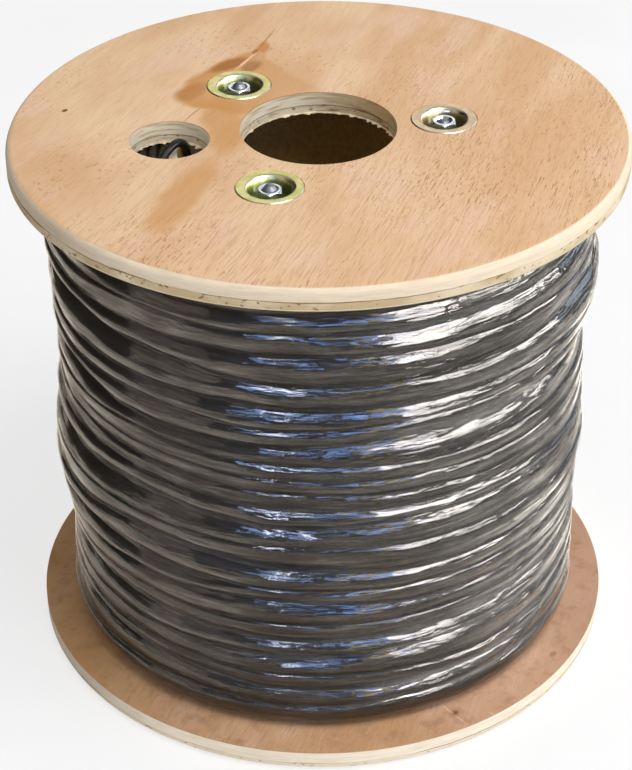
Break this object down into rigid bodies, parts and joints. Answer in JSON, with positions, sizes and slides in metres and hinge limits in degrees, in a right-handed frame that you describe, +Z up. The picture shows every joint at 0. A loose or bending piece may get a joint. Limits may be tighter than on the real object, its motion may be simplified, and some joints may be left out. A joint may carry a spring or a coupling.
{
  "type": "wooden cable drum",
  "caption": "Plywood cable drum standing on one flange, full of black twin-leg cable under clear stretch film, clamped by tie rods in dished cup washers.",
  "frame": {"origin": "centre of the lower flange's outer face, the face that the drum stands on", "axes": "+Z up along the drum's axis, towards the flange with the start hole; +X points within 10 degrees of the first tie rod, away from the start hole"},
  "size_m": [0.356, 0.356, 0.3308],
  "materials": {
    "plywood": "unfinished tan-pink rotary-cut face veneer, cream edges",
    "fibre_tube": "plain wound fibreboard tube",
    "cable_jacket": "black PVC jacket, slightly satin",
    "stretch_film": "clear glossy stretch film",
    "bright_zinc": "bright zinc plate",
    "yellow_zinc": "yellow-green passivated zinc plate"
  },
  "bodies": {
    "root": {"flange_bottom": "plywood", "flange_top": "plywood", "barrel": "fibre_tube", "cable_winding": "cable_jacket", "cable_inner_end": "cable_jacket", "stretch_film": "stretch_film", "tie_rod_1": "bright_zinc", "tie_rod_2": "bright_zinc", "tie_rod_3": "bright_zinc", "cup_washer_top_1": "yellow_zinc", "cup_washer_top_2": "yellow_zinc", "cup_washer_top_3": "yellow_zinc", "cup_washer_bottom_1": "yellow_zinc", "cup_washer_bottom_2": "yellow_zinc", "cup_washer_bottom_3": "yellow_zinc", "nut_top_1": "bright_zinc", "nut_top_2": "bright_zinc", "nut_top_3": "bright_zinc", "nut_bottom_1": "bright_zinc", "nut_bottom_2": "bright_zinc", "nut_bottom_3": "bright_zinc"}
  },
  "joints": []
}
